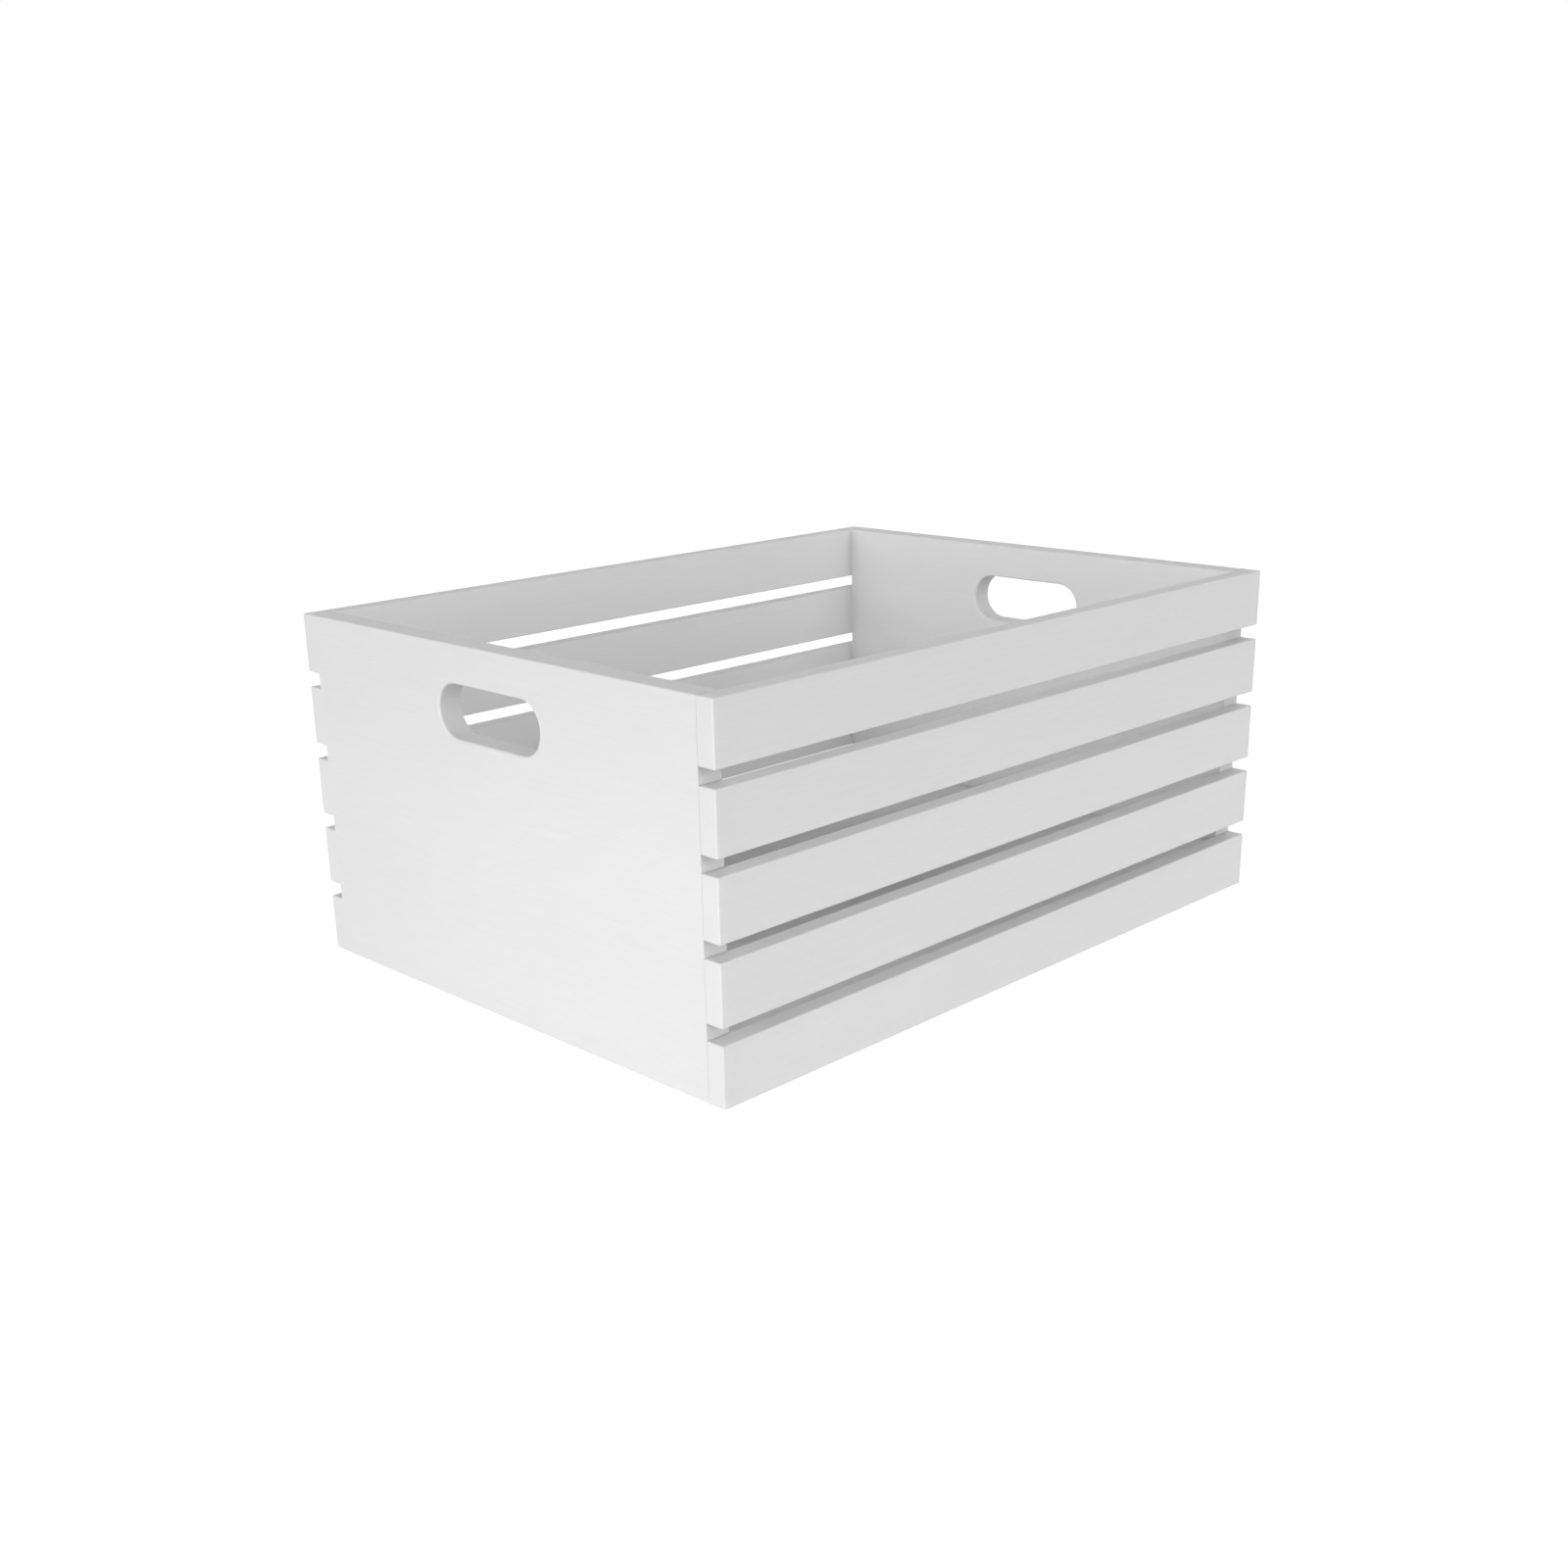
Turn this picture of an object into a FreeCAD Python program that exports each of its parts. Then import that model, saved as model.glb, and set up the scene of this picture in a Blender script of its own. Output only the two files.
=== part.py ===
"""Slatted wooden apple crate, as a parametric FreeCAD document.

Frame: millimetres, +Z up, origin at the middle of the crate's footprint on the floor.
X runs along the crate's length, Y across it. The left end is at -X and the front is at -Y.

Construction: two solid end panels stand between two rows of side slats, whose ends are flush
with the panels' outer faces. The floor is a row of lengthwise slats set in between the panels
and resting on a cleat at the foot of each one. Lost-head nails hold the slats, wood screws
hold the cleats, and every fastener sits in a hole of its own shape.
"""
import FreeCAD, Part
import math
import os
import Sketcher

ORIGIN = -1
H_AXIS = -1
V_AXIS = -2
START, END, CENTRE = 1, 2, 3

# How flat a face or level an edge has to be, and how little a cut may remove.
FLAT = 0.01
LEAST_CUT = 0.01

# A size to draw sketches at before their dimensions are set.
DRAFT = 10

# Driving dimensions in millimetres (counts are plain numbers).
DIMENSIONS = {
    "crate_length": 504,
    "crate_width": 368,
    "crate_height": 220,
    "board_thickness": 12,
    "end_thickness": 16,
    "slat_width": 36.4,
    "side_slat_count": 5,
    "floor_slat_count": 8,
    "floor_end_gap": 0.5,
    "edge_radius": 1,
    "handle_width": 92,
    "handle_height": 32,
    "handle_drop": 39,
    "handle_edge_radius": 1.5,
    "cleat_height": 20,
    "cleat_end_gap": 2,
    "nail_head_diameter": 2.4,
    "nail_head_length": 1.2,
    "nail_shank_diameter": 1.6,
    "nail_tip_length": 2,
    "nail_spacing": 16,
    "nail_set_depth": 1,
    "side_nail_length": 30,
    "floor_nail_length": 25,
    "screw_head_diameter": 6,
    "screw_head_length": 1.5,
    "screw_shank_diameter": 3,
    "screw_tip_length": 3,
    "screw_length": 25,
    "screw_slot_width": 0.9,
    "screw_slot_depth": 0.7,
    "screws_per_cleat": 3,
    "screw_step_in_slats": 3,
    "fastener_clearance": 0.05,
    "hole_end_room": 0.5,
}

# Derived lengths, as expressions on the sheet.
INNER_LENGTH = "(sheet.crate_length - 2 * sheet.end_thickness)"
INNER_WIDTH = "(sheet.crate_width - 2 * sheet.board_thickness)"
SIDE_PITCH = "((sheet.crate_height - sheet.slat_width) / (sheet.side_slat_count - 1))"
FLOOR_GAP = (
    f"(({INNER_WIDTH} - sheet.floor_slat_count * sheet.slat_width)"
    " / (sheet.floor_slat_count + 1))"
)
FLOOR_PITCH = f"(sheet.slat_width + {FLOOR_GAP})"
FLOOR_SLAT_LENGTH = f"({INNER_LENGTH} - 2 * sheet.floor_end_gap)"
FLOOR_TOP = "(sheet.cleat_height + sheet.board_thickness)"
CLEAT_LENGTH = f"({INNER_WIDTH} - 2 * sheet.cleat_end_gap)"
HALF_THICKNESS = "(sheet.board_thickness / 2)"
HALF_END_THICKNESS = "(sheet.end_thickness / 2)"
FIRST_NAIL = "((sheet.slat_width - sheet.nail_spacing) / 2)"
SCREW_PITCH = f"(sheet.screw_step_in_slats * {FLOOR_PITCH})"
FIRST_SCREW = f"(({CLEAT_LENGTH} - (sheet.screws_per_cleat - 1) * {SCREW_PITCH}) / 2)"

# Turns that lay a sub-part's own axes along the crate's axes.
X_DIR = FreeCAD.Vector(1, 0, 0)
Y_DIR = FreeCAD.Vector(0, 1, 0)
Z_DIR = FreeCAD.Vector(0, 0, 1)
NO_TURN = FreeCAD.Rotation()
HALF_TURN = FreeCAD.Rotation(Z_DIR, 180)
POINT_ALONG_Y = FreeCAD.Rotation(Z_DIR, 90)
POINT_AGAINST_Y = FreeCAD.Rotation(Z_DIR, -90)
POINT_DOWN = FreeCAD.Rotation(Y_DIR, 90)
FACE_UP = FreeCAD.Rotation(X_DIR, -90)
POINT_DOWN_ROW_ALONG_Y = FreeCAD.Rotation(-Z_DIR, -X_DIR, Y_DIR, "ZXY")


def make_sheet(doc):
    """Put every driving dimension into a spreadsheet cell with an alias of the same name."""
    sheet = doc.addObject("Spreadsheet::Sheet", "sheet")
    for row, (alias, number) in enumerate(DIMENSIONS.items(), start=1):
        sheet.set(f"A{row}", alias)
        sheet.set(f"B{row}", str(number))
        sheet.setAlias(f"B{row}", alias)
    doc.recompute()


# ---------------------------------------------------------------- helpers


def new_body(doc, label, turn, x, y, z):
    """Add an empty body at the place that three expressions give, turned by a rotation."""
    body = doc.addObject("PartDesign::Body", label)
    body.Label = label
    body.Placement = FreeCAD.Placement(FreeCAD.Vector(), turn)
    bind_position(body, "Placement", x, y, z)
    return body


def bind_position(feature, placement, x, y, z):
    """Tie a placement's position to expressions, leaving a coordinate of "0" alone."""
    for axis, expression in zip("xyz", (x, y, z)):
        if expression != "0":
            feature.setExpression(f".{placement}.Base.{axis}", expression)


def origin_part(body, role):
    return next(part for part in body.Origin.OriginFeatures if part.Role == role)


def new_sketch(body, name, role, place=("0", "0", "0"), turn=NO_TURN):
    """Attach a sketch to one of the body's origin planes, moved and turned within it."""
    sketch = body.newObject("Sketcher::SketchObject", name)
    sketch.AttachmentSupport = (origin_part(body, role), [""])
    sketch.MapMode = "FlatFace"
    sketch.AttachmentOffset = FreeCAD.Placement(FreeCAD.Vector(), turn)
    bind_position(sketch, "AttachmentOffset", *place)
    return sketch


def dimension(sketch, kind, references, name, expression):
    """Add a named driving constraint whose value comes from the sheet."""
    index = sketch.addConstraint(Sketcher.Constraint(kind, *references, 1.0))
    sketch.renameConstraint(index, name)
    sketch.setExpression(f"Constraints.{name}", expression)


def join_ends(sketch, lines):
    """Close a chain of edges by making each one start where the last one ends."""
    for last, line in zip(lines, lines[1:] + lines[:1]):
        sketch.addConstraint(Sketcher.Constraint("Coincident", last, END, line, START))


def add_outline(sketch, points):
    """Draw straight edges through the points, in order, and close them."""
    corners = [FreeCAD.Vector(x, y, 0) for x, y in points]
    edges = [Part.LineSegment(a, b) for a, b in zip(corners, corners[1:] + corners[:1])]
    lines = list(sketch.addGeometry(edges, False))
    join_ends(sketch, lines)
    return lines


def add_rectangle(sketch, width, height):
    """A rectangle with one corner on the sketch's origin."""
    corners = [(0, 0), (DRAFT, 0), (DRAFT, DRAFT), (0, DRAFT)]
    bottom, right, top, left = add_outline(sketch, corners)
    sketch.addConstraint(Sketcher.Constraint("Horizontal", bottom))
    sketch.addConstraint(Sketcher.Constraint("Vertical", right))
    sketch.addConstraint(Sketcher.Constraint("Horizontal", top))
    sketch.addConstraint(Sketcher.Constraint("Vertical", left))
    sketch.addConstraint(Sketcher.Constraint("Coincident", bottom, START, ORIGIN, START))
    dimension(sketch, "DistanceX", (bottom, START, bottom, END), "width", width)
    dimension(sketch, "DistanceY", (right, START, right, END), "height", height)


def add_pill(sketch, width, height, centre_x, centre_y):
    """A slot with half-round ends, its long way along the sketch's X axis."""
    quarter = math.pi / 2
    radius = DRAFT / 2
    left_centre = FreeCAD.Vector(DRAFT, DRAFT, 0)
    right_centre = FreeCAD.Vector(3 * DRAFT, DRAFT, 0)
    rise = FreeCAD.Vector(0, radius, 0)
    left_circle = Part.Circle(left_centre, Z_DIR, radius)
    right_circle = Part.Circle(right_centre, Z_DIR, radius)
    left, top, right, bottom = sketch.addGeometry(
        [
            Part.ArcOfCircle(left_circle, quarter, 3 * quarter),
            Part.LineSegment(right_centre + rise, left_centre + rise),
            Part.ArcOfCircle(right_circle, -quarter, quarter),
            Part.LineSegment(left_centre - rise, right_centre - rise),
        ],
        False,
    )
    for first, second in ((top, left), (left, bottom), (bottom, right), (right, top)):
        sketch.addConstraint(Sketcher.Constraint("Tangent", first, END, second, START))
    sketch.addConstraint(Sketcher.Constraint("Horizontal", top))
    sketch.addConstraint(Sketcher.Constraint("Equal", left, right))
    dimension(sketch, "Radius", (left,), "end_radius", f"{height} / 2")
    straight = f"({width} - {height})"
    from_side = f"{centre_x} - {straight} / 2"
    dimension(sketch, "DistanceX", (left, CENTRE, right, CENTRE), "straight", straight)
    dimension(sketch, "DistanceX", (ORIGIN, START, left, CENTRE), "from_side", from_side)
    dimension(sketch, "DistanceY", (ORIGIN, START, left, CENTRE), "from_foot", centre_y)


def extrude(body, kind, name, sketch, length, against_normal):
    """Pad or pocket a sketch. A pad runs along the sketch's normal and a pocket against it,
    unless against_normal turns that round."""
    feature = body.newObject(f"PartDesign::{kind}", name)
    feature.Profile = sketch
    feature.Reversed = against_normal
    feature.setExpression("Length", length)
    return feature


def revolve(body, kind, name, sketch):
    """Turn a sketch once round its own horizontal axis, to add or to cut."""
    feature = body.newObject(f"PartDesign::{kind}", name)
    feature.Profile = sketch
    feature.ReferenceAxis = (sketch, ["H_Axis"])
    feature.Angle = 360
    return feature


def repeat(body, name, originals, axis, count, spacing, axis2=None, count2="1", spacing2="0"):
    """Repeat features in a row, or in rows when a second axis is given."""
    pattern = body.newObject("PartDesign::LinearPattern", name)
    pattern.Originals = originals
    pattern.Direction = (origin_part(body, axis), [""])
    pattern.setExpression("Occurrences", count)
    pattern.setExpression("Length", f"({count} - 1) * ({spacing})")
    if axis2:
        pattern.Direction2 = (origin_part(body, axis2), [""])
        pattern.setExpression("Occurrences2", count2)
        pattern.setExpression("Length2", f"({count2} - 1) * ({spacing2})")
    body.Tip = pattern
    return pattern


def round_edges(doc, body, name, radius, wanted):
    """Fillet the edges of the body's tip that the test picks out by their bounding box."""
    doc.recompute()
    base = body.Tip
    names = [
        f"Edge{number}"
        for number, edge in enumerate(base.Shape.Edges, start=1)
        if wanted(edge.BoundBox)
    ]
    fillet = body.newObject("PartDesign::Fillet", name)
    fillet.Base = (base, names)
    fillet.setExpression("Radius", radius)
    return fillet


# ---------------------------------------------------------------- fasteners and their holes


def nail_sizes(length):
    """Expressions for a lost-head nail of a given length."""
    return {
        "head": "sheet.nail_head_diameter",
        "head_length": "sheet.nail_head_length",
        "shank": "sheet.nail_shank_diameter",
        "tip_length": "sheet.nail_tip_length",
        "length": length,
        "countersunk": False,
    }


def screw_sizes():
    """Expressions for a countersunk wood screw."""
    return {
        "head": "sheet.screw_head_diameter",
        "head_length": "sheet.screw_head_length",
        "shank": "sheet.screw_shank_diameter",
        "tip_length": "sheet.screw_tip_length",
        "length": "sheet.screw_length",
        "countersunk": True,
    }


SIDE_NAIL = nail_sizes("sheet.side_nail_length")
FLOOR_NAIL = nail_sizes("sheet.floor_nail_length")
SCREW = screw_sizes()


def add_half_section(sketch, sizes, clearance="0", end_room="0"):
    """Half of a fastener's lengthwise section: head on the sketch's origin, axis along +X."""
    shank_end, shank_start = 1.5 * DRAFT, 0.3 * DRAFT
    shank_radius, head_radius = 0.2 * DRAFT, 0.4 * DRAFT
    points = [(0, 0), (2 * DRAFT, 0), (shank_end, shank_radius), (shank_start, shank_radius)]
    if not sizes["countersunk"]:
        points.append((shank_start, head_radius))
    points.append((0, head_radius))
    lines = add_outline(sketch, points)
    axis, tip, shank = lines[:3]
    head_face = lines[-1]
    sketch.addConstraint(Sketcher.Constraint("Horizontal", axis))
    sketch.addConstraint(Sketcher.Constraint("Horizontal", shank))
    sketch.addConstraint(Sketcher.Constraint("Vertical", head_face))
    sketch.addConstraint(Sketcher.Constraint("Coincident", axis, START, ORIGIN, START))
    if not sizes["countersunk"]:
        sketch.addConstraint(Sketcher.Constraint("Vertical", lines[3]))
        sketch.addConstraint(Sketcher.Constraint("Horizontal", lines[4]))
    length = f"{sizes['length']} + {end_room}"
    shank_radius = f"{sizes['shank']} / 2 + {clearance}"
    head_length = f"{sizes['head_length']} + {clearance}"
    head_radius = f"{sizes['head']} / 2 + {clearance}"
    dimension(sketch, "DistanceX", (axis, START, axis, END), "length", length)
    dimension(sketch, "DistanceX", (tip, END, tip, START), "tip_length", sizes["tip_length"])
    from_origin = (ORIGIN, START)
    dimension(sketch, "DistanceY", (*from_origin, shank, START), "shank_radius", shank_radius)
    dimension(sketch, "DistanceX", (*from_origin, shank, END), "head_length", head_length)
    dimension(sketch, "DistanceY", (*from_origin, head_face, START), "head_radius", head_radius)


def drill(body, name, sizes, place, turn):
    """Cut the hole that a fastener fills: its head at a place in the body, pointing as turned."""
    sketch = new_sketch(body, f"{name}_section", "XY_Plane", place, turn)
    add_half_section(sketch, sizes, "sheet.fastener_clearance", "sheet.hole_end_room")
    return revolve(body, "Groove", name, sketch)


def make_nails(doc, label, sizes, count, pitch, turn, x, y, z):
    """A row of nail pairs. They point along the body's X axis, and the row runs up its Z axis."""
    body = new_body(doc, label, turn, x, y, z)
    sketch = new_sketch(body, f"{label}_section", "XY_Plane")
    add_half_section(sketch, sizes)
    nail = revolve(body, "Revolution", f"{label}_nail", sketch)
    repeat(
        body, f"{label}_row", [nail], "Z_Axis", "2", "sheet.nail_spacing", "Z_Axis", count, pitch
    )
    return body


def make_screws(doc, label, turn, x, y, z):
    """A row of slotted screws. They point along the body's X axis, and the row runs along Y."""
    body = new_body(doc, label, turn, x, y, z)
    sketch = new_sketch(body, f"{label}_section", "XY_Plane")
    add_half_section(sketch, SCREW)
    screw = revolve(body, "Revolution", f"{label}_screw", sketch)
    corner = ("-(sheet.screw_slot_width / 2)", "-(sheet.screw_head_diameter / 2)", "0")
    slot_sketch = new_sketch(body, f"{label}_slot_outline", "YZ_Plane", corner)
    add_rectangle(slot_sketch, "sheet.screw_slot_width", "sheet.screw_head_diameter")
    slot = extrude(body, "Pocket", f"{label}_slot", slot_sketch, "sheet.screw_slot_depth", True)
    repeat(
        body, f"{label}_row", [screw, slot], "Y_Axis", "sheet.screws_per_cleat", SCREW_PITCH
    )
    return body


# ---------------------------------------------------------------- boards


def make_slat(doc, label, length, nail, nail_from_end, turn, x, y, z):
    """A slat lying along X, with its nailed face at Y = 0 and its width up Z. All its edges are
    eased but the two upright ones at the ends of its inner face."""
    body = new_body(doc, label, turn, x, y, z)
    outline = new_sketch(body, f"{label}_outline", "XZ_Plane")
    add_rectangle(outline, length, "sheet.slat_width")
    extrude(body, "Pad", f"{label}_board", outline, "sheet.board_thickness", True)
    thickness = DIMENSIONS["board_thickness"]

    def is_eased(box):
        is_upright = box.ZLength > max(box.XLength, box.YLength)
        is_inner = box.YMin > thickness / 2
        return not (is_upright and is_inner)

    round_edges(doc, body, f"{label}_eased_edges", "sheet.edge_radius", is_eased)
    hole = drill(
        body, f"{label}_nail_hole", nail, (nail_from_end, "sheet.nail_set_depth", FIRST_NAIL),
        POINT_ALONG_Y,
    )
    repeat(
        body, f"{label}_nail_holes", [hole], "Z_Axis", "2", "sheet.nail_spacing",
        "X_Axis", "2", f"{length} - 2 * {nail_from_end}",
    )
    return body


def make_end_panel(doc, label, turn, x, y, z):
    """A solid end board: outer face at X = 0, width along Y, height up Z. It has a hand hole
    near the top, nail holes in both side edges and screw holes in its inner face."""
    body = new_body(doc, label, turn, x, y, z)
    outline = new_sketch(body, f"{label}_outline", "YZ_Plane")
    add_rectangle(outline, INNER_WIDTH, "sheet.crate_height")
    extrude(body, "Pad", f"{label}_board", outline, "sheet.end_thickness", False)
    pill = new_sketch(body, f"{label}_hand_hole_outline", "YZ_Plane")
    add_pill(
        pill,
        "sheet.handle_width",
        "sheet.handle_height",
        f"{INNER_WIDTH} / 2",
        "(sheet.crate_height - sheet.handle_drop)",
    )
    extrude(body, "Pocket", f"{label}_hand_hole", pill, "sheet.end_thickness", True)
    height = DIMENSIONS["crate_height"]

    def is_rim(box):
        is_in_face = box.XLength < FLAT
        is_inside = FLAT < box.ZMin and box.ZMax < height - FLAT
        return is_in_face and is_inside

    def is_top_or_foot(box):
        is_level = box.ZLength < FLAT and box.XLength < FLAT
        return is_level and (box.ZMax < FLAT or box.ZMin > height - FLAT)

    round_edges(doc, body, f"{label}_hand_hole_rims", "sheet.handle_edge_radius", is_rim)
    round_edges(doc, body, f"{label}_eased_edges", "sheet.edge_radius", is_top_or_foot)
    nail_start = "(sheet.board_thickness - sheet.nail_set_depth)"
    sides = (
        ("front", f"-{nail_start}", POINT_ALONG_Y),
        ("back", f"{INNER_WIDTH} + {nail_start}", POINT_AGAINST_Y),
    )
    for side, start, direction in sides:
        hole = drill(
            body, f"{label}_{side}_nail_hole", SIDE_NAIL,
            (HALF_END_THICKNESS, start, FIRST_NAIL), direction,
        )
        repeat(
            body, f"{label}_{side}_nail_holes", [hole], "Z_Axis", "2", "sheet.nail_spacing",
            "Z_Axis", "sheet.side_slat_count", SIDE_PITCH,
        )
    place = (
        "(sheet.end_thickness + sheet.board_thickness)",
        f"sheet.cleat_end_gap + {FIRST_SCREW}",
        "sheet.cleat_height / 2",
    )
    hole = drill(body, f"{label}_screw_hole", SCREW, place, HALF_TURN)
    repeat(
        body, f"{label}_screw_holes", [hole], "Y_Axis", "sheet.screws_per_cleat", SCREW_PITCH
    )
    return body


def make_cleat(doc, label, turn, x, y, z):
    """A batten that carries the floor: back face at X = 0 against the end panel, length along
    Y. The edges of its free face are eased."""
    body = new_body(doc, label, turn, x, y, z)
    outline = new_sketch(body, f"{label}_outline", "YZ_Plane")
    add_rectangle(outline, CLEAT_LENGTH, "sheet.cleat_height")
    extrude(body, "Pad", f"{label}_batten", outline, "sheet.board_thickness", False)
    thickness = DIMENSIONS["board_thickness"]

    def is_on_free_face(box):
        return box.XMin > thickness / 2

    round_edges(doc, body, f"{label}_eased_edges", "sheet.edge_radius", is_on_free_face)
    place = ("sheet.board_thickness", FIRST_SCREW, "sheet.cleat_height / 2")
    hole = drill(body, f"{label}_screw_hole", SCREW, place, HALF_TURN)
    repeat(
        body, f"{label}_screw_holes", [hole], "Y_Axis", "sheet.screws_per_cleat", SCREW_PITCH
    )
    place = (
        HALF_THICKNESS,
        f"{FLOOR_GAP} - sheet.cleat_end_gap + {FIRST_NAIL}",
        f"{FLOOR_TOP} - sheet.nail_set_depth",
    )
    hole = drill(body, f"{label}_nail_hole", FLOOR_NAIL, place, POINT_DOWN)
    repeat(
        body, f"{label}_nail_holes", [hole], "Y_Axis", "2", "sheet.nail_spacing",
        "Y_Axis", "sheet.floor_slat_count", FLOOR_PITCH,
    )
    return body


# ---------------------------------------------------------------- the crate


HALF_LENGTH = "(sheet.crate_length / 2)"
HALF_WIDTH = "(sheet.crate_width / 2)"


def make_end_panels(doc):
    half_inner_width = f"({INNER_WIDTH} / 2)"
    return [
        make_end_panel(
            doc, "left_end_panel", NO_TURN, f"-{HALF_LENGTH}", f"-{half_inner_width}", "0"
        ),
        make_end_panel(doc, "right_end_panel", HALF_TURN, HALF_LENGTH, half_inner_width, "0"),
    ]


def make_side_slats(doc):
    """Both rows of side slats, numbered from the top."""
    count = DIMENSIONS["side_slat_count"]
    sides = (
        ("front", NO_TURN, f"-{HALF_LENGTH}", f"-{HALF_WIDTH}"),
        ("back", HALF_TURN, HALF_LENGTH, HALF_WIDTH),
    )
    return [
        make_slat(
            doc, f"{side}_slat_{number}", "sheet.crate_length", SIDE_NAIL,
            HALF_END_THICKNESS, turn, x, y, f"{count - number} * {SIDE_PITCH}",
        )
        for side, turn, x, y in sides
        for number in range(1, count + 1)
    ]


def make_floor_slats(doc):
    """The floor's slats, numbered from the front."""
    nail_from_end = f"({HALF_THICKNESS} - sheet.floor_end_gap)"
    return [
        make_slat(
            doc, f"floor_slat_{number}", FLOOR_SLAT_LENGTH, FLOOR_NAIL, nail_from_end, FACE_UP,
            f"-{FLOOR_SLAT_LENGTH} / 2",
            f"-{INNER_WIDTH} / 2 + {FLOOR_GAP} + {number - 1} * {FLOOR_PITCH}",
            FLOOR_TOP,
        )
        for number in range(1, DIMENSIONS["floor_slat_count"] + 1)
    ]


def make_cleats(doc):
    x = f"({INNER_LENGTH} / 2)"
    y = f"({CLEAT_LENGTH} / 2)"
    return [
        make_cleat(doc, "left_cleat", NO_TURN, f"-{x}", f"-{y}", "0"),
        make_cleat(doc, "right_cleat", HALF_TURN, x, y, "0"),
    ]


def make_side_nails(doc):
    x = f"({HALF_LENGTH} - {HALF_END_THICKNESS})"
    y = f"({HALF_WIDTH} - sheet.nail_set_depth)"
    corners = (
        ("front_left_nails", POINT_ALONG_Y, f"-{x}", f"-{y}"),
        ("front_right_nails", POINT_ALONG_Y, x, f"-{y}"),
        ("back_left_nails", POINT_AGAINST_Y, f"-{x}", y),
        ("back_right_nails", POINT_AGAINST_Y, x, y),
    )
    return [
        make_nails(
            doc, label, SIDE_NAIL, "sheet.side_slat_count", SIDE_PITCH, turn, x, y, FIRST_NAIL
        )
        for label, turn, x, y in corners
    ]


def make_floor_nails(doc):
    x = f"({INNER_LENGTH} / 2 - {HALF_THICKNESS})"
    y = f"-{INNER_WIDTH} / 2 + {FLOOR_GAP} + {FIRST_NAIL}"
    z = f"{FLOOR_TOP} - sheet.nail_set_depth"
    return [
        make_nails(
            doc, f"{side}_floor_nails", FLOOR_NAIL, "sheet.floor_slat_count", FLOOR_PITCH,
            POINT_DOWN_ROW_ALONG_Y, sign + x, y, z,
        )
        for side, sign in (("left", "-"), ("right", ""))
    ]


def make_cleat_screws(doc):
    x = f"({INNER_LENGTH} / 2 - sheet.board_thickness)"
    y = f"({CLEAT_LENGTH} / 2 - {FIRST_SCREW})"
    z = "sheet.cleat_height / 2"
    return [
        make_screws(doc, "left_cleat_screws", HALF_TURN, f"-{x}", y, z),
        make_screws(doc, "right_cleat_screws", NO_TURN, x, f"-{y}", z),
    ]


def check_features(doc):
    """Stop if any feature failed, or if one that should cut has removed nothing."""
    for feature in doc.Objects:
        if {"Invalid", "Error"} & set(feature.State):
            raise RuntimeError(f"{feature.Label} failed: {feature.State}")
        if feature.TypeId in ("PartDesign::Pocket", "PartDesign::Groove"):
            if feature.Shape.Volume > feature.BaseFeature.Shape.Volume - LEAST_CUT:
                raise RuntimeError(f"{feature.Label} cuts nothing")


def check_shape(body, solid_count):
    shape = body.Shape
    if shape.isNull() or not shape.isValid():
        raise RuntimeError(f"{body.Label} has no valid shape")
    if len(shape.Solids) != solid_count:
        raise RuntimeError(f"{body.Label} has {len(shape.Solids)} solids, not {solid_count}")


def main():
    doc = FreeCAD.newDocument("apple_crate")
    make_sheet(doc)
    boards = (
        make_end_panels(doc) + make_side_slats(doc) + make_floor_slats(doc) + make_cleats(doc)
    )
    side_nails = make_side_nails(doc)
    floor_nails = make_floor_nails(doc)
    screws = make_cleat_screws(doc)
    doc.recompute()
    check_features(doc)
    solids = [(body, 1) for body in boards]
    solids += [(body, 2 * DIMENSIONS["side_slat_count"]) for body in side_nails]
    solids += [(body, 2 * DIMENSIONS["floor_slat_count"]) for body in floor_nails]
    solids += [(body, DIMENSIONS["screws_per_cleat"]) for body in screws]
    for body, solid_count in solids:
        check_shape(body, solid_count)
    os.makedirs("parts", exist_ok=True)
    for body, _ in solids:
        body.Shape.exportStep(f"parts/{body.Label}.step")
        print(f"{body.Label}: {body.Shape.Volume:.0f} mm3")


main()
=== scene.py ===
"""The looks of a white-painted slatted apple crate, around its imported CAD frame.

The crate stands on a pale floor with its left short end and its front long side towards the
camera. Everything is in metres, in the frame's own axes: +X runs along the crate, +Z is up.

The slats of the sides and of the floor are worked here as sanded boards: their edges are eased
by hand, so they wander a little, and each nail leaves a filled dimple. The end panels, cleats,
nails and screws are the CAD nodes themselves, with materials of their own.
"""

import math

import bpy
import bmesh
from mathutils import Matrix, Vector, noise


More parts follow.
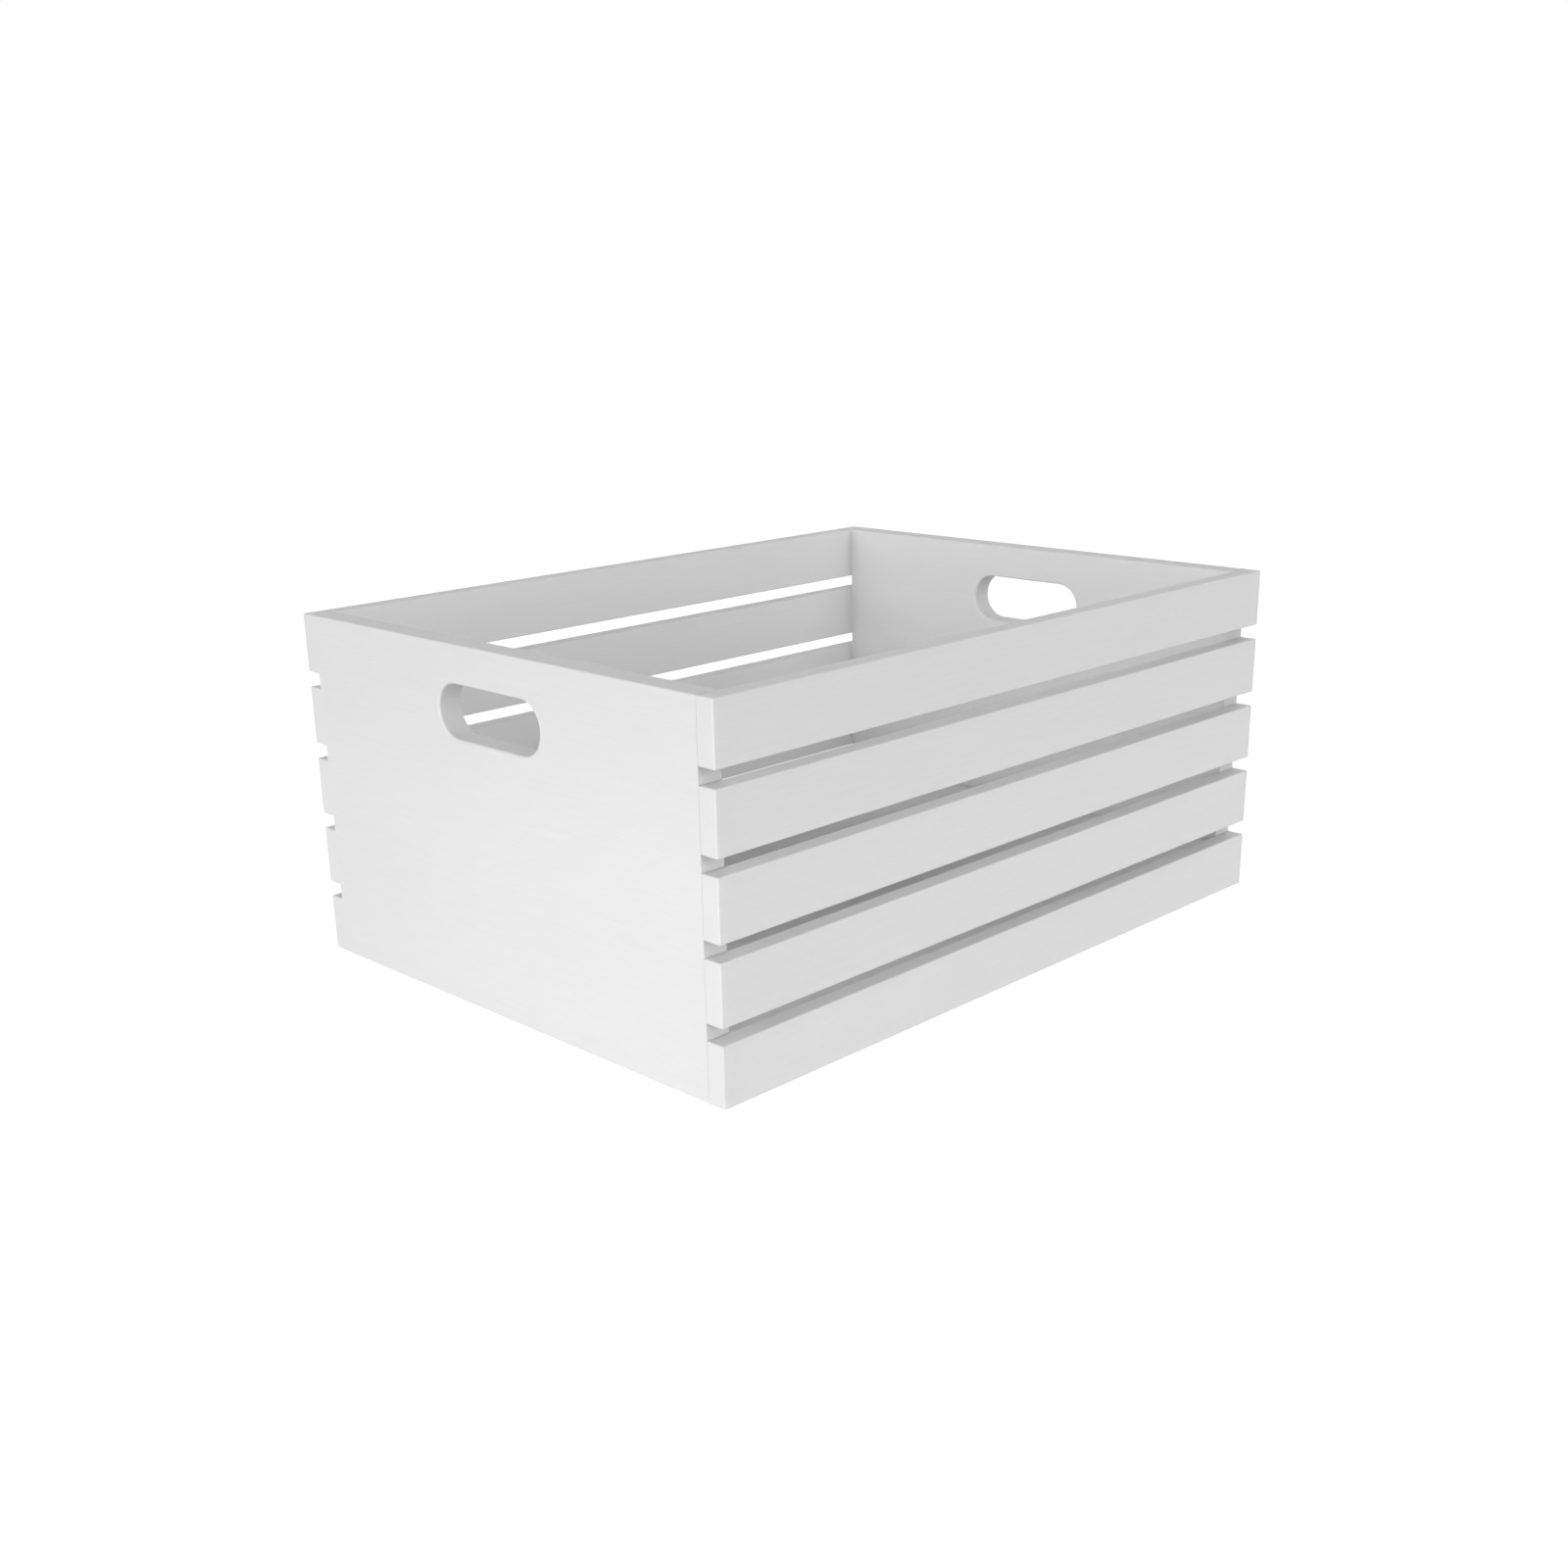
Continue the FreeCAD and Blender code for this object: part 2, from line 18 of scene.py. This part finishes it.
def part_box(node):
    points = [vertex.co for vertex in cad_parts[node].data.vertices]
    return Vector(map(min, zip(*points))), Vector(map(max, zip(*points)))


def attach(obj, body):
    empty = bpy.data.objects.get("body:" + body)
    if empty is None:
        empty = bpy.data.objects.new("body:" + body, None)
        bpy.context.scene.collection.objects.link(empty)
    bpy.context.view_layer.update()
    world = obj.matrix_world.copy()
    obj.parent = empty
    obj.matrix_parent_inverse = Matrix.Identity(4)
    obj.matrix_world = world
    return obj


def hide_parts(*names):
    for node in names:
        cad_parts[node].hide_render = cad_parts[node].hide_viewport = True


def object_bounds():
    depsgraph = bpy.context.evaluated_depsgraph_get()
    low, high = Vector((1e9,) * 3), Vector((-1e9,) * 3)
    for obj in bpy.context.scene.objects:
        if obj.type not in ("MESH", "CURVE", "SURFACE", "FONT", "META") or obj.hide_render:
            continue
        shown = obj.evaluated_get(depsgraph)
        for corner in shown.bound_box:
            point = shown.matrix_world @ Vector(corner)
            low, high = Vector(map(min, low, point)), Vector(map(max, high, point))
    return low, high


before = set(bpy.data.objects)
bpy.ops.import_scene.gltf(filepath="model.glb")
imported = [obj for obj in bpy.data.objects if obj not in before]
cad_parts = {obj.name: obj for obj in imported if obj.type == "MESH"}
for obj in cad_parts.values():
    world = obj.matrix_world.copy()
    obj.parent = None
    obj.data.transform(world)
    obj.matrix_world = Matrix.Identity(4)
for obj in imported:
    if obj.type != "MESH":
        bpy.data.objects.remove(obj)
CAD_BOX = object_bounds()
LOW, HIGH = CAD_BOX
X_AXIS, Y_AXIS, Z_AXIS = (Vector(row) for row in Matrix.Identity(3))

# The camera stands off the near corner, between the left end and the front side.
CAMERA_PLACE = Vector((-0.8452, -0.8204, 0.415))
CAMERA_AZIMUTH = math.radians(-45.15)
CAMERA_DIP = math.radians(19.27)
CAMERA_ROLL = math.radians(-1.05)
CAMERA_SHIFT = 0.0802
CAMERA_NEAREST = 0.01
SENSOR_WIDTH = 36.0
LENS = 42.04

# A board's sanded shape. EDGE_RADIUS eases its long edges and the outer edge of its ends, and
# JOINT_EASE the inner edge of its ends, which meets the panel. The radii wander by EDGE_WANDER
# and the faces are hollow by up to FACE_HOLLOW. The wander lengths say over what distance that
# changes, and the noise gaps keep one corner's or face's noise clear of the next one's.
EDGE_RADIUS = 0.001
LEAST_RADIUS = EDGE_RADIUS * 0.02
JOINT_EASE = 0.00025
EDGE_WANDER = 0.18
EDGE_WANDER_LENGTH = 0.035
CORNER_NOISE_GAP = 7.0
FACE_HOLLOW = 0.00006
FACE_WANDER_LENGTH = 0.06
FACE_NOISE_GAP = 9.0
EDGE_STEPS = 6
BOARD_STEP = 0.012

# The filled nail heads, two at each end of a slat.
NAIL_FROM_SLAT_END = 0.008
NAIL_FROM_FLOOR_SLAT_END = 0.0055
NAIL_SPACING = 0.016
DIMPLE_RADIUS = 0.002
DIMPLE_DEPTH = 0.00014
DIMPLE_STEPS = 5

# Every board and panel has a seed of its own, so that no two have the same edges or grain.
BOARD_SEED_STEP = 1.37
PANEL_SEED = 40
PANEL_SEED_STEP = 2.9

# Patterns: how long and how wide one grain is, and how many finer layers the noise has. The
# figure shows as rings: they are the sine of its noise times FIGURE_RINGS.
FIBRE = (0.030, 0.0011, 3.0)
FIGURE = (0.16, 0.007, 2.0)
BRUSH = (0.06, 0.0022, 2.0)
STIPPLE = (0.0013, 0.0013, 2.0)
CLOUD = (0.12, 0.05, 2.0)
SCRATCH = (0.004, 0.0002, 3.0)
FIGURE_RINGS = 55.0

# The paint: how white it is, what each pattern adds to that, its tint, and how much painted
# shade darkens it, rising from a given height up to the rim.
PAINT = 0.845
PAINT_BASE = PAINT - 0.019
FIBRE_TONE = 0.030
CLOUD_TONE = 0.016
RING_TONE = 0.004
FILLER_TONE = -0.012
PAINT_TINT = (1.0, 1.0, 0.999)
RIM_PAINTED_SHADE = 0.05
RIM_SHADE_FROM = 0.09

# The paint's roughness, and what each pattern adds to it.
PAINT_ROUGHNESS = 0.38
CLOUD_ROUGHNESS = 0.16
STIPPLE_ROUGHNESS = 0.08
FILLER_ROUGHNESS = -0.06

# The paint's relief: each pattern's share, and the height that a share of 1 stands for.
FIBRE_RELIEF = 0.45
RING_RELIEF = 0.10
BRUSH_RELIEF = 0.5
STIPPLE_RELIEF = 0.25
PAINT_RELIEF_HEIGHT = 0.0001

# Painted shade in gaps and corners, where less light reaches: how much it darkens the paint in
# the closest ones, how narrow they are, and the height below which nothing but the ground is
# near.
CREVICE_PAINTED_SHADE = 0.4
CREVICE = 0.018
CREVICE_SHADE_SAMPLES = 8
FOOT_HEIGHT = 0.02

# The steel of nails and screws: its tone and roughness, and what a scratch adds to them.
STEEL_TONE = 0.42
SCRATCH_TONE = 0.18
STEEL_ROUGHNESS = 0.25
SCRATCH_ROUGHNESS = 0.25
STEEL_RELIEF_HEIGHT = 0.00001

# The studio's soft lamps: heading in degrees from +X towards +Y, and strength.
LOW_LAMPS = ((0, 0.31), (45, 0.10), (90, 0.31), (180, 0.73), (270, 0.44))
RAISED_LAMPS = ((45, 0.10), (270, 0.17))
LOW_HEIGHT = math.radians(12)
RAISED_HEIGHT = math.radians(35)
LAMP_SPREAD = math.radians(50)

# A small card of light that faces the left end panel, close to its front edge: how far it stands
# from the panel, how high its middle is, its width and its power in watts.
CARD_DISTANCE = 0.35
CARD_HEIGHT = 0.13
CARD_SIZE = 0.22
CARD_POWER = 0.13

# The floor: a wide disc, as pale as the walls.
FLOOR_RADIUS = 9.0
FLOOR_SEGMENTS = 96
FLOOR_WHITENESS = 0.9
FLOOR_ROUGHNESS = 0.9
FLOOR_GLOW = 0.6


# ---------------------------------------------------------------- boards


def arc_ease(distance, radius):
    """How far a rounded edge stands back from its face, at a distance from the end."""
    if distance >= radius:
        return 0.0
    return radius - math.sqrt(radius ** 2 - (radius - distance) ** 2)


def dimple(u, v, nails):
    """How full of filler the surface is at a point: 1 at a nail's centre, 0 away from it."""
    for nail_u, nail_v in nails:
        reach = math.hypot(u - nail_u, v - nail_v) / DIMPLE_RADIUS
        if reach < 1:
            return (1 + math.cos(math.pi * reach)) / 2
    return 0.0


def spread(start, end, step):
    """Evenly spaced values from start up to but not including end."""
    count = max(1, round((end - start) / step))
    return [start + (end - start) * i / count for i in range(count)]


def round_nail(place):
    """Closely spaced values to both sides of a nail's place."""
    step = DIMPLE_RADIUS / DIMPLE_STEPS
    return [place + i * step for i in range(-DIMPLE_STEPS, DIMPLE_STEPS + 1)]


def mirrored(half):
    """Values from 0 upwards, with their negatives before them."""
    return [-value for value in reversed(half[1:])] + half


def stations_along(half_length, nail_u):
    """Places along a board: sparse along the run, close round the nails and the eased ends."""
    around = round_nail(nail_u)
    run = spread(0, around[0], BOARD_STEP)
    angles = [math.pi / 2 * i / EDGE_STEPS for i in range(EDGE_STEPS, -1, -1)]
    end = [half_length - EDGE_RADIUS * (1 - math.cos(a)) for a in angles]
    clear = around[-1] + DIMPLE_RADIUS / DIMPLE_STEPS / 2
    return mirrored(run + around + [u for u in end if u > clear])


def points_across(half_width, nail_v):
    """Places across a board's faces, close round the two rows of nails."""
    around = round_nail(nail_v)
    margin = half_width - 2 * EDGE_RADIUS
    inner = spread(0, around[0], around[0] / 2)
    outer = spread(around[-1], margin, (margin - around[-1]) / 2)[1:] + [margin]
    return mirrored(inner + around + outer)


def ring(u, half_length, half_width, thickness, across, nails, seed):
    """One closed cross-section of a board, as (v, w, filler) points: v across, w out of the
    nailed face, which is at w = 0."""
    distance = half_length - abs(u)
    side_inset = arc_ease(distance, EDGE_RADIUS)
    joint_inset = arc_ease(distance, JOINT_EASE)

    def wander(corner):
        place = Vector((u / EDGE_WANDER_LENGTH, corner * CORNER_NOISE_GAP, seed))
        return 1 + EDGE_WANDER * noise.noise(place)

    def hollow(v, face):
        across_face = v / FACE_WANDER_LENGTH + face * FACE_NOISE_GAP
        place = Vector((u / FACE_WANDER_LENGTH, across_face, seed))
        return FACE_HOLLOW * (0.5 + 0.5 * noise.noise(place))

    def corner_arc(corner, v_sign, w_edge, w_sign, start):
        radius = max(EDGE_RADIUS * wander(corner) - side_inset, LEAST_RADIUS)
        centre_v = v_sign * (half_width - side_inset - radius)
        centre_w = w_edge - w_sign * radius
        angles = (start + math.pi / 2 * i / EDGE_STEPS for i in range(EDGE_STEPS + 1))
        return [
            (centre_v + radius * math.cos(a), centre_w + radius * math.sin(a), 0.0)
            for a in angles
        ]

    top = -side_inset
    bottom = -thickness + joint_inset
    nailed = []
    for v in reversed(across):
        full = dimple(u, v, nails)
        nailed.append((v, top - hollow(v, 0) - DIMPLE_DEPTH * full, full))
    inner = [(v, bottom + hollow(v, 1), 0.0) for v in across]
    points = corner_arc(0, 1, top, 1, 0.0)
    points += nailed
    points += corner_arc(1, -1, top, 1, math.pi / 2)
    points += corner_arc(2, -1, bottom, -1, math.pi)
    points += inner
    points += corner_arc(3, 1, bottom, -1, 1.5 * math.pi)
    return points


def loft(name, rings):
    """A closed mesh through equal rings of (place, filler) points, capped at both ends."""
    bm = bmesh.new()
    filler = bm.verts.layers.float.new("filler")
    loops = []
    for points in rings:
        loop = []
        for place, full in points:
            vert = bm.verts.new(place)
            vert[filler] = full
            loop.append(vert)
        loops.append(loop)
    for first, second in zip(loops, loops[1:]):
        for i in range(len(first)):
            bm.faces.new((first[i - 1], first[i], second[i], second[i - 1]))
    bm.faces.new(list(reversed(loops[-1])))
    bm.faces.new(loops[0])
    bmesh.ops.recalc_face_normals(bm, faces=bm.faces)
    for face in bm.faces:
        face.smooth = True
    mesh = bpy.data.meshes.new(name)
    bm.to_mesh(mesh)
    bm.free()
    return mesh


def board_mesh(node, across_axis, outward, nail_from_end, seed):
    """The mesh of a sanded slat that fills a CAD slat's box: it runs along X, its width lies
    along across_axis, and its nailed face looks along outward."""
    low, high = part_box(node)
    size = high - low
    half_length = size.x / 2
    half_width = abs(size.dot(across_axis)) / 2
    thickness = abs(size.dot(outward))
    face = (low + high) / 2 + outward * thickness / 2
    along = across_axis.cross(outward)
    nail_u = half_length - nail_from_end
    nail_v = NAIL_SPACING / 2
    nails = [(su * nail_u, sv * nail_v) for su in (-1, 1) for sv in (-1, 1)]
    across = points_across(half_width, nail_v)
    rings = []
    for u in stations_along(half_length, nail_u):
        points = ring(u, half_length, half_width, thickness, across, nails, seed)
        rings.append([
            (face + along * u + across_axis * v + outward * w, full) for v, w, full in points
        ])
    return loft(f"{node}_board", rings)


def make_board(node, across_axis, outward, nail_from_end, seed, material):
    """A sanded slat that stands for a CAD slat."""
    mesh = board_mesh(node, across_axis, outward, nail_from_end, seed)
    board = bpy.data.objects.new(f"{node}_board", mesh)
    bpy.context.scene.collection.objects.link(board)
    shading = board.modifiers.new("weighted_normals", "WEIGHTED_NORMAL")
    shading.keep_sharp = True
    board["board_seed"] = seed
    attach(board, "root")
    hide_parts(node)
    mesh.materials.append(material)


def numbered(prefix):
    """The names of the CAD nodes that start with a prefix, in their order."""
    return sorted(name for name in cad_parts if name.startswith(prefix))


def make_boards(material):
    """Every slat of the two sides and of the floor."""
    groups = (
        ("front_slat_", Z_AXIS, -Y_AXIS, NAIL_FROM_SLAT_END),
        ("back_slat_", Z_AXIS, Y_AXIS, NAIL_FROM_SLAT_END),
        ("floor_slat_", Y_AXIS, Z_AXIS, NAIL_FROM_FLOOR_SLAT_END),
    )
    seed = 0.0
    for prefix, across_axis, outward, nail_from_end in groups:
        for node in numbered(prefix):
            seed += BOARD_SEED_STEP
            make_board(node, across_axis, outward, nail_from_end, seed, material)


# ---------------------------------------------------------------- materials


def add_node(tree, kind, **settings):
    """A new shader node. Its inputs are given as a dict, its other settings by name."""
    made = tree.nodes.new(kind)
    for name, value in settings.pop("inputs", {}).items():
        made.inputs[name].default_value = value
    for name, value in settings.items():
        setattr(made, name, value)
    return made


def maths(tree, operation, *values):
    """A Math node on numbers or on other nodes' outputs, and its output."""
    made = add_node(tree, "ShaderNodeMath", operation=operation)
    for socket, value in zip(made.inputs, values):
        if isinstance(value, bpy.types.NodeSocket):
            tree.links.new(value, socket)
        else:
            socket.default_value = value
    return made.outputs[0]


def layered(tree, base, *layers):
    """The base with each (pattern, amount) layer added to it."""
    total = base
    for pattern, amount in layers:
        total = maths(tree, "MULTIPLY_ADD", pattern, amount, total)
    return total


def grey(tree, tone, tint=(1.0, 1.0, 1.0)):
    """A colour with one tone in all channels, each times its tint."""
    colour = add_node(tree, "ShaderNodeCombineColor")
    for channel, share in zip(("Red", "Green", "Blue"), tint):
        tree.links.new(maths(tree, "MULTIPLY", tone, share), colour.inputs[channel])
    return colour.outputs[0]


def relief_normal(tree, relief, height):
    """The surface normal over a relief whose 1 is a height in metres."""
    bump = add_node(tree, "ShaderNodeBump", inputs={"Strength": 1.0, "Distance": height})
    tree.links.new(relief, bump.inputs["Height"])
    return bump.outputs[0]


def grain(tree, place, pattern, long_axis):
    """Noise between 0 and 1 in one of the patterns above, whose grains lie along long_axis."""
    length, width, detail = pattern
    scale = [1 / width] * 3
    scale[long_axis] = 1 / length
    stretch = add_node(tree, "ShaderNodeVectorMath", operation="MULTIPLY")
    stretch.inputs[1].default_value = scale
    tree.links.new(place, stretch.inputs[0])
    made = add_node(
        tree, "ShaderNodeTexNoise", inputs={"Scale": 1.0, "Detail": detail, "Roughness": 0.5}
    )
    tree.links.new(stretch.outputs[0], made.inputs["Vector"])
    return made.outputs["Fac"]


def board_place(tree):
    """The place on the object, shifted by the board's own seed so that no two boards match."""
    where = add_node(tree, "ShaderNodeTexCoord").outputs["Object"]
    seed = add_node(
        tree, "ShaderNodeAttribute", attribute_type="OBJECT", attribute_name="board_seed"
    )
    shift = add_node(tree, "ShaderNodeCombineXYZ")
    for socket in shift.inputs:
        tree.links.new(seed.outputs["Fac"], socket)
    add = add_node(tree, "ShaderNodeVectorMath", operation="ADD")
    tree.links.new(where, add.inputs[0])
    tree.links.new(shift.outputs[0], add.inputs[1])
    return add.outputs[0]


def climb(tree, low, high, amount):
    """A value that rises smoothly from 0 to amount between two heights on the crate."""
    place = add_node(tree, "ShaderNodeTexCoord").outputs["Object"]
    parts = add_node(tree, "ShaderNodeSeparateXYZ")
    tree.links.new(place, parts.inputs[0])
    rise = add_node(
        tree, "ShaderNodeMapRange", interpolation_type="SMOOTHSTEP",
        inputs={"From Min": low, "From Max": high, "To Min": 0.0, "To Max": amount},
    )
    tree.links.new(parts.outputs["Z"], rise.inputs["Value"])
    return rise.outputs["Result"]


def crevice_painted_shade(tree):
    """How much painted shade darkens the paint: none on an open face, more in a gap, and most in
    a corner, where less light reaches. None near the ground."""
    sky = add_node(
        tree, "ShaderNodeAmbientOcclusion", samples=CREVICE_SHADE_SAMPLES, inputs={"Distance": CREVICE}
    )
    closed = maths(tree, "SUBTRACT", 1.0, sky.outputs["AO"])
    shade = maths(tree, "MULTIPLY", closed, closed)
    return maths(tree, "MULTIPLY", shade, climb(tree, LOW.z, LOW.z + FOOT_HEIGHT, CREVICE_PAINTED_SHADE))


def new_material(name):
    """A new material, its node tree and its shader."""
    material = bpy.data.materials.new(name)
    material.use_nodes = True
    tree = material.node_tree
    return material, tree, tree.nodes["Principled BSDF"]


def painted_wood(name, long_axis):
    """White satin paint brushed over sanded pine, whose grain runs along long_axis."""
    material, tree, shader = new_material(name)
    place = board_place(tree)
    fibre, figure, brush, stipple, cloud = (
        grain(tree, place, pattern, long_axis)
        for pattern in (FIBRE, FIGURE, BRUSH, STIPPLE, CLOUD)
    )
    rings = maths(tree, "SINE", maths(tree, "MULTIPLY", figure, FIGURE_RINGS))
    filler = add_node(
        tree, "ShaderNodeAttribute", attribute_type="GEOMETRY", attribute_name="filler"
    ).outputs["Fac"]

    tone = layered(tree, PAINT_BASE, (fibre, FIBRE_TONE))
    # Painted shade: the paint gets darker towards the rim.
    tone = maths(tree, "SUBTRACT", tone, climb(tree, RIM_SHADE_FROM, HIGH.z, RIM_PAINTED_SHADE))
    tone = layered(tree, tone, (cloud, CLOUD_TONE), (rings, RING_TONE), (filler, FILLER_TONE))
    # Painted shade: the paint is darkened in gaps and corners by how closed in they are.
    tone = maths(tree, "MULTIPLY", tone, maths(tree, "SUBTRACT", 1.0, crevice_painted_shade(tree)))
    tree.links.new(grey(tree, tone, PAINT_TINT), shader.inputs["Base Color"])

    roughness = layered(
        tree, PAINT_ROUGHNESS,
        (cloud, CLOUD_ROUGHNESS), (stipple, STIPPLE_ROUGHNESS), (filler, FILLER_ROUGHNESS),
    )
    tree.links.new(roughness, shader.inputs["Roughness"])

    wood = layered(tree, 0.0, (fibre, FIBRE_RELIEF), (rings, RING_RELIEF))
    wood = maths(tree, "MULTIPLY", wood, maths(tree, "SUBTRACT", 1.0, filler))
    relief = layered(tree, wood, (brush, BRUSH_RELIEF), (stipple, STIPPLE_RELIEF))
    tree.links.new(relief_normal(tree, relief, PAINT_RELIEF_HEIGHT), shader.inputs["Normal"])
    return material


def brushed_steel():
    """Bright steel wire, a little uneven, as on the nails and screws."""
    material, tree, shader = new_material("brushed_steel")
    shader.inputs["Metallic"].default_value = 1.0
    place = add_node(tree, "ShaderNodeTexCoord").outputs["Object"]
    scratch = grain(tree, place, SCRATCH, 0)
    tone = layered(tree, STEEL_TONE, (scratch, SCRATCH_TONE))
    tree.links.new(grey(tree, tone), shader.inputs["Base Color"])
    roughness = layered(tree, STEEL_ROUGHNESS, (scratch, SCRATCH_ROUGHNESS))
    tree.links.new(roughness, shader.inputs["Roughness"])
    tree.links.new(relief_normal(tree, scratch, STEEL_RELIEF_HEIGHT), shader.inputs["Normal"])
    return material


def pale_floor():
    """A matt white table. To the camera it glows a little, so it is as pale as the walls."""
    material, tree, shader = new_material("pale_floor")
    shader.inputs["Base Color"].default_value = (*[FLOOR_WHITENESS] * 3, 1)
    shader.inputs["Roughness"].default_value = FLOOR_ROUGHNESS
    shader.inputs["Specular IOR Level"].default_value = 0.0
    shader.inputs["Emission Color"].default_value = (1, 1, 1, 1)
    seen = add_node(tree, "ShaderNodeLightPath").outputs["Is Camera Ray"]
    glow = maths(tree, "MULTIPLY", seen, FLOOR_GLOW)
    tree.links.new(glow, shader.inputs["Emission Strength"])
    return material


def paint_node(name, material, seed):
    """A CAD node keeps its shape and takes a material, whose grain its seed shifts."""
    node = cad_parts[name]
    node.data.materials.clear()
    node.data.materials.append(material)
    node["board_seed"] = seed


def paint_nodes():
    """The pieces that keep their CAD shape: the two end panels, the cleats, and the nails and
    screws."""
    paint = painted_wood("painted_panel", 1)
    panels = ("left_end_panel", "right_end_panel", "left_cleat", "right_cleat")
    for number, name in enumerate(panels):
        paint_node(name, paint, PANEL_SEED + PANEL_SEED_STEP * number)
    steel = brushed_steel()
    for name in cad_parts:
        if name.endswith(("_nails", "_screws")):
            paint_node(name, steel, 0.0)


# ---------------------------------------------------------------- studio


def make_camera():
    """The main camera: it looks down by CAMERA_DIP, along the heading given by its azimuth."""
    back = Vector((
        math.sin(CAMERA_AZIMUTH) * math.cos(CAMERA_DIP),
        -math.cos(CAMERA_AZIMUTH) * math.cos(CAMERA_DIP),
        math.sin(CAMERA_DIP),
    ))
    right = Z_AXIS.cross(back).normalized()
    up = back.cross(right)
    turn = Matrix((right, up, back)).transposed().to_4x4()
    data = bpy.data.cameras.new("main_camera")
    data.sensor_width = SENSOR_WIDTH
    data.lens = LENS
    data.shift_y = CAMERA_SHIFT
    data.clip_start = CAMERA_NEAREST
    camera = bpy.data.objects.new("main_camera", data)
    bpy.context.scene.collection.objects.link(camera)
    camera.matrix_world = (
        Matrix.Translation(CAMERA_PLACE) @ turn @ Matrix.Rotation(CAMERA_ROLL, 4, "Z")
    )
    bpy.context.scene.camera = camera


def add_light(data, away):
    """The object of a light that shines from the direction away."""
    light = bpy.data.objects.new(data.name, data)
    light.rotation_mode = "QUATERNION"
    light.rotation_quaternion = away.to_track_quat("Z", "Y")
    bpy.context.scene.collection.objects.link(light)
    return light


def make_lamp(heading, height, strength):
    """A big soft lamp, far off, at a heading in degrees and a height above the floor."""
    heading = math.radians(heading)
    away = Vector((
        math.cos(heading) * math.cos(height),
        math.sin(heading) * math.cos(height),
        math.sin(height),
    ))
    data = bpy.data.lights.new("soft_lamp", "SUN")
    data.angle = LAMP_SPREAD
    data.energy = math.pi * strength
    add_light(data, away)


def make_card():
    """The small card of light by the left end panel. Only its light is seen."""
    data = bpy.data.lights.new("card", "AREA")
    data.shape = "DISK"
    data.size = CARD_SIZE
    data.energy = CARD_POWER
    card = add_light(data, -X_AXIS)
    card.location = (LOW.x - CARD_DISTANCE, LOW.y, LOW.z + CARD_HEIGHT)
    card.visible_camera = False


def make_walls():
    """Walls that the camera sees as plain white, and that light nothing."""
    world = bpy.data.worlds.new("studio")
    bpy.context.scene.world = world
    world.use_nodes = True
    tree = world.node_tree
    walls = tree.nodes["Background"]
    walls.inputs["Color"].default_value = (1, 1, 1, 1)
    seen = add_node(tree, "ShaderNodeLightPath").outputs["Is Camera Ray"]
    tree.links.new(seen, walls.inputs["Strength"])


def make_light():
    """The card, a ring of low soft lamps, a few raised ones, and the walls behind them."""
    make_card()
    for heading, strength in LOW_LAMPS:
        make_lamp(heading, LOW_HEIGHT, strength)
    for heading, strength in RAISED_LAMPS:
        make_lamp(heading, RAISED_HEIGHT, strength)
    make_walls()


def make_floor():
    """The floor under the crate."""
    mesh = bpy.data.meshes.new("floor")
    bm = bmesh.new()
    bmesh.ops.create_circle(bm, cap_ends=True, segments=FLOOR_SEGMENTS, radius=FLOOR_RADIUS)
    bm.to_mesh(mesh)
    bm.free()
    floor = bpy.data.objects.new("floor", mesh)
    floor.location.z = LOW.z
    bpy.context.scene.collection.objects.link(floor)
    mesh.materials.append(pale_floor())


make_boards(painted_wood("painted_slat", 0))
paint_nodes()
make_camera()
make_light()
make_floor()
bpy.context.scene.view_settings.view_transform = "Standard"
